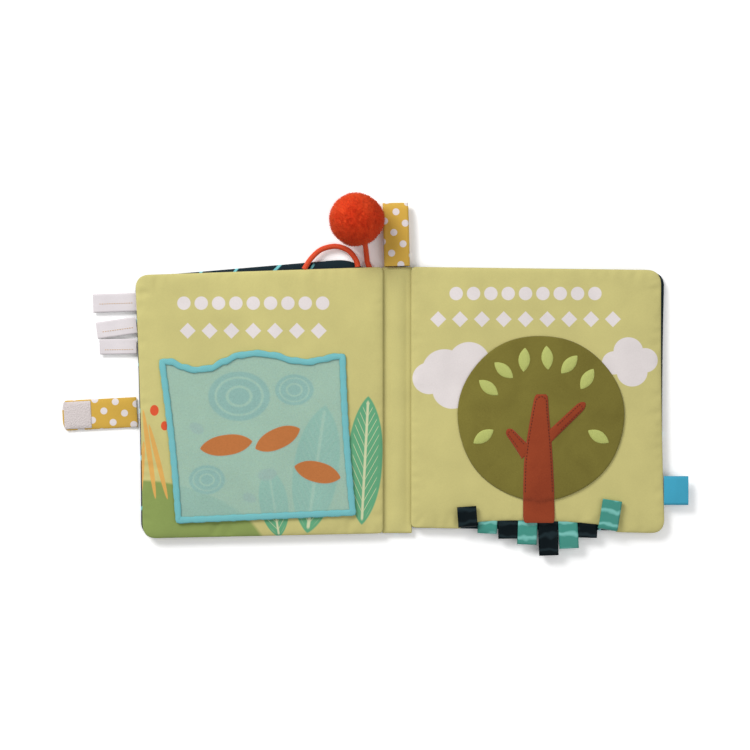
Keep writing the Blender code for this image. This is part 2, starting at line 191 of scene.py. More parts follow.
def softStep(tree, value, low, high):
    made = addNode(tree, "ShaderNodeMapRange", {0: value, 1: low, 2: high, 3: 1.0, 4: 0.0})
    made.clamp = True
    return made.outputs[0]


def ovalGroup():
    tree, entry, out = newGroup("ovalPrint", placeInputs, "Mask")
    reach = vectorNode(tree, "LENGTH", localPlace(tree, entry))
    tree.links.new(softStep(tree, reach, 0.98, 1.02), out.inputs["Mask"])
    return tree


# A pointed leaf with a midrib and slanting veins
def leafGroup():
    tree, entry, out = newGroup("leafPrint", {**placeInputs, "Veins": 6.0}, "Mask", "Lines")
    parts = axesOf(tree, localPlace(tree, entry))
    side = mathNode(tree, "ABSOLUTE", parts.outputs["X"])
    up = parts.outputs["Y"]
    edge = mathNode(tree, "POWER", mathNode(tree, "ABSOLUTE", up), 2.4)
    reach = plus(tree, mathNode(tree, "POWER", side, 1.25), edge)
    mask = softStep(tree, reach, 0.97, 1.03)
    slant = mathNode(tree, "SUBTRACT", up, times(tree, side, 0.55))
    wave = mathNode(tree, "FRACT", times(tree, slant, entry.outputs["Veins"]))
    veins = softStep(tree, wave, 0.08, 0.13)
    rib = softStep(tree, side, 0.05, 0.09)
    short = times(tree, veins, softStep(tree, side, 0.70, 0.76))
    lines = mathNode(tree, "MAXIMUM", short, rib)
    inside = times(tree, lines, softStep(tree, reach, 0.80, 0.88))
    tree.links.new(mask, out.inputs["Mask"])
    tree.links.new(inside, out.inputs["Lines"])
    return tree


# A row of equal dots or diamonds: the shape repeats along X, Count times each side of the centre
def rowGroup():
    inputs = {**placeInputs, "Pitch": 0.012, "Count": 4.0, "Diamond": 0.0}
    tree, entry, out = newGroup("rowPrint", inputs, "Mask")
    shifted = vectorNode(tree, "SUBTRACT", entry.outputs["Vector"], entry.outputs["Centre"])
    parts = axesOf(tree, shifted)
    steps = mathNode(tree, "DIVIDE", parts.outputs["X"], entry.outputs["Pitch"])
    index = mathNode(tree, "ROUND", steps)
    low = times(tree, entry.outputs["Count"], -1.0)
    index = mathNode(tree, "MAXIMUM", mathNode(tree, "MINIMUM", index, entry.outputs["Count"]), low)
    along = times(tree, mathNode(tree, "SUBTRACT", steps, index), entry.outputs["Pitch"])
    joined = addNode(tree, "ShaderNodeCombineXYZ", {0: along, 1: parts.outputs["Y"]}).outputs[0]
    local = vectorNode(tree, "DIVIDE", joined, entry.outputs["Half"])
    split = axesOf(tree, local)
    square = plus(tree, mathNode(tree, "ABSOLUTE", split.outputs["X"]),
                      mathNode(tree, "ABSOLUTE", split.outputs["Y"]))
    round_ = vectorNode(tree, "LENGTH", local)
    reach = addNode(tree, "ShaderNodeMix", {0: entry.outputs["Diamond"], 2: round_, 3: square}).outputs[0]
    tree.links.new(softStep(tree, reach, 0.95, 1.05), out.inputs["Mask"])
    return tree


# Cloth: crossed threads, slow unevenness and lint, as a height and a shade
def weaveGroup():
    inputs = {"Vector": (0, 0, 0), "Thread": 0.0011, "Uneven": 0.35}
    tree, entry, out = newGroup("weave", inputs, "Height", "Shade")
    turns = mathNode(tree, "DIVIDE", 2 * math.pi, entry.outputs["Thread"])
    scaled = addNode(tree, "ShaderNodeVectorMath", {0: entry.outputs["Vector"], "Scale": turns},
                     operation="SCALE").outputs[0]
    parts = axesOf(tree, scaled)
    across = mathNode(tree, "SINE", parts.outputs["X"])
    along = mathNode(tree, "SINE", parts.outputs["Y"])
    threads = times(tree, across, along)
    place = entry.outputs["Vector"]
    lint = noiseNode(tree, place, 900.0, 3.0)
    slow = noiseNode(tree, place, 38.0, 4.0)
    height = plus(tree, times(tree, threads, 0.25),
                      times(tree, lint, 0.7))
    shade = plus(tree, times(tree, slow, 0.7),
                     times(tree, lint, 0.3))
    spread = times(tree, mathNode(tree, "SUBTRACT", shade, 0.5), entry.outputs["Uneven"])
    tree.links.new(height, out.inputs["Height"])
    tree.links.new(plus(tree, spread, 1.0), out.inputs["Shade"])
    return tree


groups = {"oval": ovalGroup(), "leaf": leafGroup(), "row": rowGroup(), "weave": weaveGroup()}
print("node groups ready")


# Cloth materials: each starts from a plain colour and has its prints laid over it
def newMaterial(name, roughness=0.9, sheen=0.0):
    mat = bpy.data.materials.new(name)
    mat.use_nodes = True
    tree = mat.node_tree
    shader = tree.nodes["Principled BSDF"]
    shader.inputs["Roughness"].default_value = roughness
    shader.inputs["Sheen Weight"].default_value = sheen
    shader.inputs["Specular IOR Level"].default_value = 0.25
    coords = addNode(tree, "ShaderNodeTexCoord").outputs["Object"]
    return mat, tree, shader, coords


def shaded(tree, colour, shade):
    tone = addNode(tree, "ShaderNodeCombineXYZ", {0: shade, 1: shade, 2: shade}).outputs[0]
    return addNode(tree, "ShaderNodeMix", {0: 1.0, 6: colour, 7: tone}, data_type="RGBA",
                   blend_type="MULTIPLY").outputs[2]


# Colour and bump of a material
def wear(tree, shader, colour, strength, distance, height):
    tree.links.new(colour, shader.inputs["Base Color"])
    lift = addNode(tree, "ShaderNodeBump", {"Strength": strength, "Distance": distance, "Height": height})
    tree.links.new(lift.outputs[0], shader.inputs["Normal"])


# Weave over the colour: a slight change of shade, and the threads as bump
def dressCloth(tree, shader, coords, colour, thread=0.0011, uneven=0.35, bump=0.25, depth=0.0004):
    made = addNode(tree, "ShaderNodeGroup", {"Vector": coords, "Thread": thread, "Uneven": uneven},
                   node_tree=groups["weave"])
    wear(tree, shader, shaded(tree, colour, made.outputs["Shade"]), bump, depth, made.outputs["Height"])
    return made


def printShape(tree, coords, kind, centre, half, turn=0.0, **values):
    inputs = {"Vector": coords, "Centre": (*centre, 0), "Half": (*half, 1), "Turn": math.radians(turn)}
    return addNode(tree, "ShaderNodeGroup", {**inputs, **values}, node_tree=groups[kind])


def overlay(tree, colour, mask, ink):
    return mixColour(tree, mask, colour, (*inks[ink], 1))


def printOval(tree, coords, colour, ink, *place):
    return overlay(tree, colour, printShape(tree, coords, "oval", *place).outputs["Mask"], ink)


inks = {
    "olive": (0.585, 0.530, 0.205),
    "white": (0.76, 0.70, 0.69),
    "hill": (0.254, 0.333, 0.091),
    "leaf": (0.125, 0.392, 0.202),
    "vein": (0.62, 0.66, 0.40),
    "pond": (0.055, 0.235, 0.215),
    "reed": (0.72, 0.40, 0.10),
    "berry": (0.70, 0.09, 0.03),
    "stone": (0.42, 0.27, 0.20),
    "navy": (0.006, 0.018, 0.026),
    "aqua": (0.19, 0.58, 0.61),
    "sheer": (0.45, 0.72, 0.65),
    "rustTone": (0.60, 0.20, 0.05),
    # Dark brown stitch thread, its darkness partly painted shade of the sewn-in groove
    "barkThreadAndGrooveShade": (0.150, 0.020, 0.007),
    "sprig": (0.560, 0.610, 0.170),
    "tealPaintedHighlight": (0.26, 0.66, 0.60),
    # Lighter inks of the satin ribbons, used as painted highlight bands
    "teal": (0.048, 0.275, 0.220),
    "inkPaintedHighlight": (0.030, 0.055, 0.065),
    "ink": (0.002, 0.006, 0.008),
    "gold": (0.640, 0.395, 0.062),
    "tape": (0.74, 0.69, 0.71),
    "red": (0.80, 0.075, 0.014),
    "label": (0.045, 0.36, 0.53),
}

# Left page: a low hill, two veined leaves, reeds and stones, with two rows of plain shapes above
leftPrint = {
    "hill": [((-0.186, -0.112), (0.086, 0.048), 10)],
    "leaves": [((-0.0250, -0.0470), (0.0135, 0.0500), 3, 6), ((-0.0630, -0.0540), (0.0175, 0.0500), 8, 7),
               ((-0.0960, -0.0800), (0.0110, 0.0270), -9, 5)],
    "reed": [((-0.1930, -0.0420), (0.0020, 0.0350), -8), ((-0.1860, -0.0480), (0.0019, 0.0300), -14),
            ((-0.1990, -0.0560), (0.0018, 0.0240), 4)],
    "berry": [((-0.1890, -0.0080), (0.00336, 0.0042)), ((-0.1810, -0.0200), (0.00288, 0.0036))],
    "pads": [((-0.1230, 0.0030), 0.0240), ((-0.0800, 0.0080), 0.0150), ((-0.1480, -0.0620), 0.0140)],
    "stone": [((-0.1560, -0.0220), (0.0060, 0.0040), 30), ((-0.1010, -0.0580), (0.0075, 0.0045), -12),
               ((-0.1150, -0.0760), (0.0055, 0.0035), 20)],
    "rows": [((-0.1120, 0.0755), (0.0052, 0.0052), 0.0135, 4, 0.0),
             ((-0.1120, 0.0540), (0.0062, 0.0062), 0.0170, 3, 1.0)],
}
rightPrint = {
    "clouds": [((0.0370, 0.0230), 0.0175), ((0.0560, 0.0300), 0.0160), ((0.0250, 0.0170), 0.0130),
               ((0.0430, 0.0080), 0.0155), ((0.1800, 0.0380), 0.0115), ((0.1930, 0.0310), 0.0100),
               ((0.1690, 0.0290), 0.0095), ((0.1830, 0.0220), 0.0120)],
    "rows": [((0.1000, 0.0830), (0.0052, 0.0052), 0.0135, 4, 0.0),
             ((0.1000, 0.0630), (0.0062, 0.0062), 0.0170, 4, 1.0)],
}


def printRows(tree, coords, colour, rows):
    for centre, half, pitch, count, diamond in rows:
        made = printShape(tree, coords, "row", centre, half, Pitch=pitch, Count=float(count), Diamond=diamond)
        colour = overlay(tree, colour, made.outputs["Mask"], "white")
    return colour


def leftPageMaterial():
    mat, tree, shader, coords = newMaterial("leftPageCotton", 0.85, 0.15)
    colour = (*inks["olive"], 1)
    for ink in ("hill", "reed", "berry"):
        for place in leftPrint[ink]:
            colour = printOval(tree, coords, colour, ink, *place)
    for centre, half, turn, veins in leftPrint["leaves"]:
        made = printShape(tree, coords, "leaf", centre, half, turn, Veins=float(veins))
        colour = overlay(tree, colour, made.outputs["Mask"], "leaf")
        colour = overlay(tree, colour, made.outputs["Lines"], "vein")
    for centre, size in leftPrint["pads"]:
        for share, ink in ((1.0, "pond"), (0.80, "vein"), (0.72, "pond"), (0.44, "vein"), (0.34, "pond")):
            colour = printOval(tree, coords, colour, ink, centre, (size * share, size * share * 0.8))
    for place in leftPrint["stone"]:
        colour = printOval(tree, coords, colour, "stone", *place)
    colour = printRows(tree, coords, colour, leftPrint["rows"])
    dressCloth(tree, shader, coords, colour)
    return mat


def rightPageMaterial():
    mat, tree, shader, coords = newMaterial("rightPageCotton", 0.85, 0.15)
    colour = (*inks["olive"], 1)
    for centre, size in rightPrint["clouds"]:
        colour = printOval(tree, coords, colour, "white", centre, (size, size * 0.95))
    colour = printRows(tree, coords, colour, rightPrint["rows"])
    dressCloth(tree, shader, coords, colour)
    return mat


def plainCloth(name, ink, roughness=0.85, sheen=0.1, **dress):
    mat, tree, shader, coords = newMaterial(name, roughness, sheen)
    dressCloth(tree, shader, coords, (*inks[ink], 1), **dress)
    return mat


# Dark cloth crossed by thin slanting teal lines of uneven length
def coverMaterial():
    mat, tree, shader, coords = newMaterial("coverCotton", 0.9, 0.0)
    turned = turnedBy(tree, coords, 35)
    parts = axesOf(tree, turned)
    sway = noiseNode(tree, coords, 14.0, 1.0)
    place = plus(tree, times(tree, parts.outputs["X"], 46.0),
                     times(tree, sway, 0.8))
    stripe = softStep(tree, mathNode(tree, "FRACT", place), 0.07, 0.10)
    broken = noiseNode(tree, coords, 26.0, 0.0)
    mask = times(tree, stripe, softStep(tree, broken, 0.56, 0.60))
    colour = overlay(tree, (*inks["navy"], 1), mask, "aqua")
    dressCloth(tree, shader, coords, colour)
    return mat


# Gold cloth with white dots in staggered rows
def dottedMaterial(name, pitch=0.0162, radius=0.0027, turn=0.0, shift=(0.0, 0.0)):
    mat, tree, shader, coords = newMaterial(name, 0.85, 0.1)
    moved = vectorNode(tree, "ADD", coords, (*shift, 0))
    turned = turnedBy(tree, moved, turn)
    flat = vectorNode(tree, "MULTIPLY", turned, (1, 1, 0))
    colour = (*inks["gold"], 1)
    for offset in ((0, 0, 0), (pitch / 2, pitch / 2, 0)):
        placed = vectorNode(tree, "ADD", flat, offset)
        cell = vectorNode(tree, "DIVIDE", placed, (pitch, pitch, 1))
        inside = vectorNode(tree, "SUBTRACT", vectorNode(tree, "FRACTION", cell), (0.5, 0.5, 0))
        reach = vectorNode(tree, "LENGTH", vectorNode(tree, "MULTIPLY", inside, (1, 1, 0)))
        dots = softStep(tree, reach, radius / pitch * 0.95, radius / pitch * 1.05)
        colour = overlay(tree, colour, dots, "white")
    dressCloth(tree, shader, coords, colour)
    return mat


# Short pile: brushed patches lean lighter or darker, with a soft sheen
def velourMaterial(name, ink, deep):
    mat, tree, shader, coords = newMaterial(name, 0.95, 0.35)
    shader.inputs["Sheen Roughness"].default_value = 0.4
    brushed = noiseNode(tree, coords, 30.0, 3.0, 0.6)
    pile = noiseNode(tree, coords, 1500.0, 2.0)
    lean = plus(tree, times(tree, brushed, 0.55),
                    times(tree, pile, 0.45))
    share = addNode(tree, "ShaderNodeMapRange", {0: lean, 1: 0.30, 2: 0.72}).outputs[0]
    colour = mixColour(tree, share, (*deep, 1), (*ink, 1))
    wear(tree, shader, colour, 0.35, 0.0006, lean)
    return mat


# Woven ribbon: fine cross ribs, a soft gloss, and slow bright bands of painted highlight across it
def satinMaterial(name, ink, gloss, paintedHighlight):
    mat, tree, shader, coords = newMaterial(name, 0.30, 0.0)
    shader.inputs["Specular IOR Level"].default_value = gloss
    parts = axesOf(tree, coords)
    ribs = mathNode(tree, "SINE", times(tree, parts.outputs["X"], 9000.0))
    cloud = noiseNode(tree, coords, 60.0, 2.0)
    phase = plus(tree, times(tree, parts.outputs["Y"], 620.0),
                     times(tree, cloud, 9.0))
    # Painted highlight: waving bands across the ribbon lighten its colour towards a paler highlight ink
    band = addNode(tree, "ShaderNodeMapRange", {0: mathNode(tree, "SINE", phase), 1: 0.35, 2: 1.0}).outputs[0]
    share = times(tree, band, paintedHighlight)
    colour = mixColour(tree, share, (*inks[ink], 1), (*inks[ink + "PaintedHighlight"], 1))
    rough = addNode(tree, "ShaderNodeMapRange", {0: cloud, 3: 0.24, 4: 0.42}).outputs[0]
    tree.links.new(rough, shader.inputs["Roughness"])
    wear(tree, shader, colour, 0.12, 0.0002, ribs)
    return mat


# Packed stitching: rows of thread side by side, with painted shade darkening the troughs between rows
def threadMaterial(name, ink, turn=0.0, pitch=0.0007):
    mat, tree, shader, coords = newMaterial(name, 0.55, 0.1)
    turned = turnedBy(tree, coords, turn)
    wobble = noiseNode(tree, coords, 300.0, 2.0)
    parts = axesOf(tree, turned)
    phase = plus(tree, times(tree, parts.outputs["X"], 2 * math.pi / pitch),
                     times(tree, wobble, 2.5))
    rows = mathNode(tree, "SINE", phase)
    # Painted shade: the thread colour drops to three quarters in the troughs between rows and rises slightly
    # on the crests
    share = addNode(tree, "ShaderNodeMapRange", {0: rows, 1: -1.0, 2: 1.0, 3: 0.75, 4: 1.05}).outputs[0]
    colour = shaded(tree, (*inks[ink], 1), share)
    wear(tree, shader, colour, 0.4, 0.0004, rows)
    return mat


# Sheer flap: see-through cloth with three plain pointed shapes dyed on it
flapPrint = {
    "seeds": [((-0.1330, -0.0350), (0.0080, 0.0205), 82), ((-0.0930, -0.0300), (0.0080, 0.0190), 66),
              ((-0.0620, -0.0560), (0.0080, 0.0185), 104)],
    "cover": 0.43,
    "seedCover": 0.78,
}


def sheerMaterial():
    mat, tree, shader, coords = newMaterial("sheerAqua", 0.45, 0.3)
    colour = (*inks["sheer"], 1)
    solid = flapPrint["cover"]
    for centre, half, turn in flapPrint["seeds"]:
        made = printShape(tree, coords, "leaf", centre, half, turn, Veins=9.0)
        colour = overlay(tree, colour, made.outputs["Mask"], "rustTone")
        solid = addNode(tree, "ShaderNodeMix", {0: made.outputs["Mask"], 2: solid,
                                                3: flapPrint["seedCover"]}).outputs[0]
    weave = dressCloth(tree, shader, coords, colour, thread=0.0009, uneven=0.2, bump=0.15)
    threads = times(tree, mathNode(tree, "SUBTRACT", weave.outputs["Height"], 0.35), 0.25)
    tree.links.new(mathNode(tree, "ADD", solid, threads, clamp=True), shader.inputs["Alpha"])
    return mat


def plushMaterial():
    mat, tree, shader, coords = newMaterial("redPlush", 1.0, 0.5)
    shader.inputs["Sheen Roughness"].default_value = 0.5
    shader.inputs["Sheen Tint"].default_value = (1.0, 0.35, 0.2, 1)
    pile = noiseNode(tree, coords, 700.0, 3.0)
    tuft = noiseNode(tree, coords, 110.0, 3.0)
    both = plus(tree, times(tree, pile, 0.5),
                    times(tree, tuft, 0.5))
    share = addNode(tree, "ShaderNodeMapRange", {0: both, 1: 0.35, 2: 0.65}).outputs[0]
    colour = mixColour(tree, share, (0.74, 0.045, 0.008, 1), (0.92, 0.100, 0.020, 1))
    wear(tree, shader, colour, 0.6, 0.0012, both)
    return mat


# Hook tape: rows of tiny hooks show as a fine grid
def hookPatchMaterial():
    mat, tree, shader, coords = newMaterial("hookTape", 0.8, 0.0)
    cells = addNode(tree, "ShaderNodeTexVoronoi", {"Vector": coords, "Scale": 900.0})
    colour = mixColour(tree, cells.outputs["Distance"], (0.74, 0.67, 0.66, 1), (0.62, 0.55, 0.54, 1))
    wear(tree, shader, colour, 0.6, 0.0008, cells.outputs["Distance"])
    return mat


mats = {
    "leftPage": leftPageMaterial(),
    "rightPage": rightPageMaterial(),
    "olive": plainCloth("gutterCotton", "olive"),
    "cover": coverMaterial(),
    "gold": dottedMaterial("dottedGold", turn=6),
    "tape": plainCloth("whiteTape", "tape", thread=0.0008),
    "label": plainCloth("blankLabel", "label", 0.6),
    "velour": velourMaterial("mossVelour", (0.225, 0.195, 0.036), (0.150, 0.125, 0.020)),
    "bark": velourMaterial("rustVelour", (0.350, 0.060, 0.018), (0.230, 0.034, 0.010)),
    # Trunk and branch stitches: real dark brown thread, darkened further as painted shade of the groove they
    # sit in
    "barkStitchAndGrooveShade": threadMaterial("rustThreadAndGrooveShade", "barkThreadAndGrooveShade", 90),
    "sprig": threadMaterial("limeThread", "sprig", 25),
    "hem": threadMaterial("aquaThread", "aqua", 45, 0.0009),
    "teal": satinMaterial("tealSatin", "teal", 0.3, 0.65),
    "ink": satinMaterial("inkSatin", "ink", 0.08, 0.35),
    "sheer": sheerMaterial(),
    "plush": plushMaterial(),
    "cord": threadMaterial("redCord", "red", 30, 0.0011),
    "hook": hookPatchMaterial(),
    "goldThread": threadMaterial("sandThread", "reed", 0),
}
print("materials ready:", len(mats))


# Cords first: the red arch on the left cover and the pompom's lead from the spine
cords = {
    "thick": mm(4.2),
    "arch": ((-72.6, 101.9, 6.2), (-67, 110.5, 5.2), (-59, 117.5, 4.2), (-48, 120, 3.8), (-38.5, 117, 4.2),
             (-33, 111, 5.2), (-31, 106.2, 5.8), (-30.7, 103.8, 6.0)),
    "archLength": mm(58.5),
    "lead": ((-10.7, 95.2, 2.6), (-13.7, 95.2, 2.6), (-17.2, 97.6, 2.6), (-20.5, 102, 2.6), (-23, 107, 3),
             (-23.8, 113, 5.5), (-24.8, 120.5, 10.5), (-26.0, 124.5, 13.5)),
    "leadLength": mm(39.2),
}


# Catmull-Rom curve through the points
def smoothLine(points, steps=12):
    points = [Vector(p) for p in points]
    ends = [points[0] * 2 - points[1]] + points + [points[-1] * 2 - points[-2]]
    line = []
    for a, b, c, d in zip(ends, ends[1:], ends[2:], ends[3:]):
        for i in range(steps):
            t = i / steps
            line.append(0.5 * (2 * b + (c - a) * t + (2 * a - 5 * b + 4 * c - d) * t * t
                               + (3 * b - a - 3 * c + d) * t ** 3))
    line.append(points[-1])
    return line


def makeCord(name, points, body, node):
    curve = bpy.data.curves.new(name, "CURVE")
    curve.dimensions = "3D"
    curve.bevel_depth = cords["thick"] / 2
    curve.bevel_resolution = 6
    curve.use_fill_caps = True
    line = smoothLine([[c / 1000 for c in p] for p in points])
    spline = curve.splines.new("POLY")
    spline.points.add(len(line) - 1)
    for point, place in zip(spline.points, line):
        point.co = (*place, 1)
    curve.materials.append(mats["cord"])
    obj = addObject(name, curve)
    finishPiece(obj, body, "red_plush", node)
    return obj


# Pompom: a ball of short leaning tufts
pompom = {"centre": (mm(-31.9), mm(140.0), mm(21.9)), "core": mm(19.4), "reach": mm(21.3), "tufts": 15000}


def makePompom():
    centre = Vector(pompom["centre"])
    bm = bmesh.new()
    bmesh.ops.create_icosphere(bm, subdivisions=5, radius=1.0)
    for vert in bm.verts:
        direction = vert.co.normalized()
        lump = noise.noise(direction * 2.2) * 0.035 + noise.noise(direction * 9) * 0.03
        lump += 0.07 * max(0.0, direction.x) ** 4
        vert.co = centre + direction * pompom["core"] * (1 + lump)
    golden = math.pi * (3 - math.sqrt(5))
    for i in range(pompom["tufts"]):
        height = 1 - 2 * (i + 0.5) / pompom["tufts"]
        ring = math.sqrt(1 - height * height)
        direction = Vector((math.cos(golden * i) * ring, math.sin(golden * i) * ring, height))
        lump = noise.noise(direction * 2.2) * 0.035 + 0.07 * max(0.0, direction.x) ** 4
        random = noise.random_vector()
        lean = (direction + random * 0.6).normalized()
        root = centre + direction * pompom["core"] * (0.985 + lump)
        long = (pompom["reach"] - pompom["core"]) * (0.95 + 0.6 * random.z)
        side = lean.orthogonal().normalized()
        other = lean.cross(side)
        foot = []
        for turn in range(3):
            angle = turn * 2 * math.pi / 3
            foot.append(bm.verts.new(root + (side * math.cos(angle) + other * math.sin(angle)) * mm(0.33)))
        tip = bm.verts.new(root + lean * long)
        for turn in range(3):
            bm.faces.new((foot[turn], foot[(turn + 1) % 3], tip))
    obj = addMesh("pompom_pile", bm, mats["plush"])
    finishPiece(obj, "spine", "red_plush", "pompom")
    return obj


noise.seed_set(11)
arch = makeCord("arch_cord", cords["arch"], "left_cover", "cord_arch")
tuple(c / 1000 for c in cords["arch"][0])
lead = makeCord("pompom_lead", cords["lead"], "spine", "pompom_cord")
ball = makePompom()
tuple(c / 1000 for c in cords["lead"][0])
print("cords and pompom ready")


# Two equal grids: the upper one's points, the lower twin of each, and the edges to be joined
def doubleGrid(cells, under=0):
    bm = bmesh.new()
    bmesh.ops.create_grid(bm, x_segments=cells[0], y_segments=cells[1], size=1.0)
    grid = list(bm.verts)
    copy = bmesh.ops.duplicate(bm, geom=grid + list(bm.edges) + list(bm.faces))
    for face in copy["geom"]:
        if isinstance(face, bmesh.types.BMFace):
            face.material_index = under
    return bm, grid, copy["vert_map"], [e for e in bm.edges if e.is_boundary]


def sewShut(name, bm, rims, *materials):
    bmesh.ops.bridge_loops(bm, edges=rims)
    bmesh.ops.recalc_face_normals(bm, faces=bm.faces)
    return addMesh(name, bm, *materials)


def smoothOut(obj):
    subdivide(obj, 1)
    applyAll(obj)
    obj.data.shade_smooth()


# Padded leaves, simulated as cloth blown up between sewn edges
leafShape = {
    "cells": 72,
    "thick": mm(5.0),
    "seam": mm(1.5),
    "power": 4.0,
    "restCut": mm(0.5),
    "drawIn": mm(1.2),
    "pucker": mm(0.5),       # small pleats that run in from the sewn edge
    "puckerReach": 0.16,
    "wrinkle": mm(0.45),
}
pageLow = mm(4.8)
pageTop = mm(9.8)
innerEdge = mm(10.8)
leaves = {
    "left_cover": {"corners": ((-innerEdge, mm(-103)), (-innerEdge, mm(112.5)), (mm(-205), mm(96)),
                               (mm(-200), mm(-106.5))), "low": 0.0, "tuck": mm(38), "rests": True,
                   "front": "cover", "back": "cover", "body": "left_cover", "seed": 3},
    "right_cover": {"corners": ((innerEdge, mm(-100)), (innerEdge, mm(103)), (mm(209), mm(100)),
                                (mm(208), mm(-102.5))), "low": 0.0, "tuck": mm(3), "rests": True,
                    "front": "cover", "back": "cover", "body": "right_half", "seed": 9,
                    "pocket": (mm(165), mm(-9.5), mm(11.6), mm(1.2))},
    "left_page": {"corners": ((-innerEdge, mm(-104)), (-innerEdge, mm(104)), (mm(-204.5), mm(97.5)),
                              (mm(-198.5), mm(-108))), "low": pageLow, "tuck": mm(3), "rests": False,
                  "front": "leftPage", "back": "olive", "body": "left_page", "seed": 21},
    "right_page": {"corners": ((innerEdge, mm(-99.5)), (innerEdge, mm(104)), (mm(206), mm(101.5)),
                               (mm(208.8), mm(-104))), "low": pageLow, "tuck": mm(3), "rests": False,
                   "front": "rightPage", "back": "olive", "body": "right_half", "seed": 33,
                   "pull": mm(7.5)},
}
leafCorner = mm(10)
pullSpan = (mm(50), mm(170))


# Moves a point of the square grid in, so that each ring follows the rounded corners
def roundedPlace(u, v, radii):
    reach = max(abs(u), abs(v), 1e-6)
    a, b = u / reach, v / reach
    radius = radii[(a > 0, b > 0)] / mm(100)
    if abs(a) <= 1 - radius or abs(b) <= 1 - radius:
        return u, v
    low, high = 0.5, 1.0
    for _ in range(22):
        share = (low + high) / 2
        far = math.hypot(max(0, abs(a) * share - 1 + radius), max(0, abs(b) * share - 1 + radius))
        low, high = (low, share) if far > radius else (share, high)
    return u * share, v * share


def quadPlace(corners, u, v):
    innerLow, innerTop, outerTop, outerLow = (Vector(c) for c in corners)
    inner = innerLow.lerp(innerTop, (v + 1) / 2)
    outer = outerLow.lerp(outerTop, (v + 1) / 2)
    return inner.lerp(outer, (u + 1) / 2)


# Cloth with pressure inside and its sewn edge held; no point moves further than cap
def blowUp(obj, pinned, cap):
    before = [v.co.copy() for v in obj.data.vertices]
    group = obj.vertex_groups.new(name="sewn")
    group.add(pinned, 1.0, "REPLACE")
    cloth = obj.modifiers.new("cloth", "CLOTH")
    settings = cloth.settings
    settings.quality = 5
    settings.mass = 0.15
    settings.tension_stiffness = 12
    settings.compression_stiffness = 12
    settings.bending_stiffness = 0.25
    settings.use_pressure = True
    settings.uniform_pressure_force = 2.0
    settings.shrink_min = -0.035
    settings.vertex_group_mass = "sewn"
    settings.effector_weights.gravity = 0.0
    cloth.collision_settings.use_self_collision = False
    scene = bpy.context.scene
    for step in range(1, 19):
        scene.frame_set(step)
    applyAll(obj)
    scene.frame_set(1)
    for vert, old in zip(obj.data.vertices, before):
        move = vert.co - old
        if move.length > cap:
            vert.co = old + move * (cap / move.length)


def makeLeaf(name, plan):
    shape = leafShape
    radii = {(False, False): mm(3), (False, True): plan["tuck"], (True, False): leafCorner,
             (True, True): leafCorner}
    middle = plan["low"] + shape["thick"] / 2 - (shape["restCut"] if plan["rests"] else 0)
    bm, tops, twin, rims = doubleGrid((shape["cells"], shape["cells"]), 1)
    shift = Vector((plan["seed"], plan["seed"] * 0.7, 0))
    for vert in tops:
        u, v = vert.co.x, vert.co.y
        ru, rv = roundedPlace(u, v, radii)
        place = quadPlace(plan["corners"], ru, rv)
        place.x -= math.copysign(shape["drawIn"], place.x) * max(0, ru) ** 3 * (1 - rv * rv)
        if "pull" in plan and v < 0 and pullSpan[0] < place.x < pullSpan[1]:
            share = (place.x - pullSpan[0]) / (pullSpan[1] - pullSpan[0])
            place.y += plan["pull"] * math.sin(math.pi * share) ** 0.3 * (-v) ** 3
        crown = (1 - abs(u) ** shape["power"]) * (1 - abs(v) ** shape["power"])
        edge = 1 - max(abs(u), abs(v))
        near = max(0.0, 1 - edge / shape["puckerReach"]) * min(1.0, edge * 14)
        along = place.y if abs(u) > abs(v) else place.x
        pleats = noise.noise(Vector((along * 150, plan["seed"] + (u > 0) + 2 * (v > 0), 0)))
        slow = noise.noise(Vector((place.x * 30, place.y * 14, 0)) + shift)
        slow += 0.5 * noise.noise(Vector((place.x * 12, place.y * 44, 3)) + shift)
        uneven = shape["pucker"] * pleats * near + shape["wrinkle"] * slow * min(1.0, edge * 6)
        rise = shape["seam"] / 2 + (shape["thick"] - shape["seam"]) / 2 * crown
        twin[vert].co = (place.x, place.y, max(middle - rise - uneven * 0.5, plan["low"]))
        vert.co = (place.x, place.y, middle + rise * 0.90 + uneven)
    bm.verts.index_update()
    pinned = list({v.index for e in rims for v in e.verts})
    obj = sewShut(name + "_cloth", bm, rims, mats[plan["front"]], mats[plan["back"]])
    blowUp(obj, pinned, mm(0.9))
    ceiling = middle + shape["thick"] / 2 + mm(0.15)
    for vert in obj.data.vertices:
        vert.co.z = min(max(vert.co.z, plan["low"]), ceiling)
        if "pocket" in plan:
            x, y, half, deep = plan["pocket"]
            if abs(vert.co.x - x) < half and abs(vert.co.y - y) < half:
                vert.co.z = max(vert.co.z, deep)
    obj.data.shade_smooth()
    smoothOut(obj)
    finishPiece(obj, plan["body"], "olive_cotton" if plan["low"] > 0 else "navy_cotton", name)
    print("leaf", name, len(obj.data.polygons))


# Strip between the leaves: a low pad whose two long edges are sewn down
gutter = {"low": -mm(104), "high": mm(104), "side": mm(11.6), "edge": mm(5.25), "crown": mm(6.8),
          "flat": 0.62, "under": mm(2.6), "cells": (28, 90)}


def makeGutter():
    bm, grid, twin, rims = doubleGrid(gutter["cells"])
    middle = (gutter["low"] + gutter["high"]) / 2
    half = (gutter["high"] - gutter["low"]) / 2
    for vert in grid:
        u, v = vert.co.x, vert.co.y
        x = u * gutter["side"]
        y = middle + v * half
        wave = noise.noise(Vector((x * 60, y * 28, 5)))
        rise = max(0.0, 1 - (u / gutter["flat"]) ** 2)
        top = gutter["edge"] + (gutter["crown"] - gutter["edge"]) * rise * (1 - abs(v) ** 12)
        top += mm(0.6) * wave * rise
        twin[vert].co = (x, y, gutter["under"])
        vert.co = (x, y, top)
    obj = sewShut("gutter_cloth", bm, rims, mats["olive"])
    smoothOut(obj)
    finishPiece(obj, "spine", "olive_cotton", "gutter_strip")


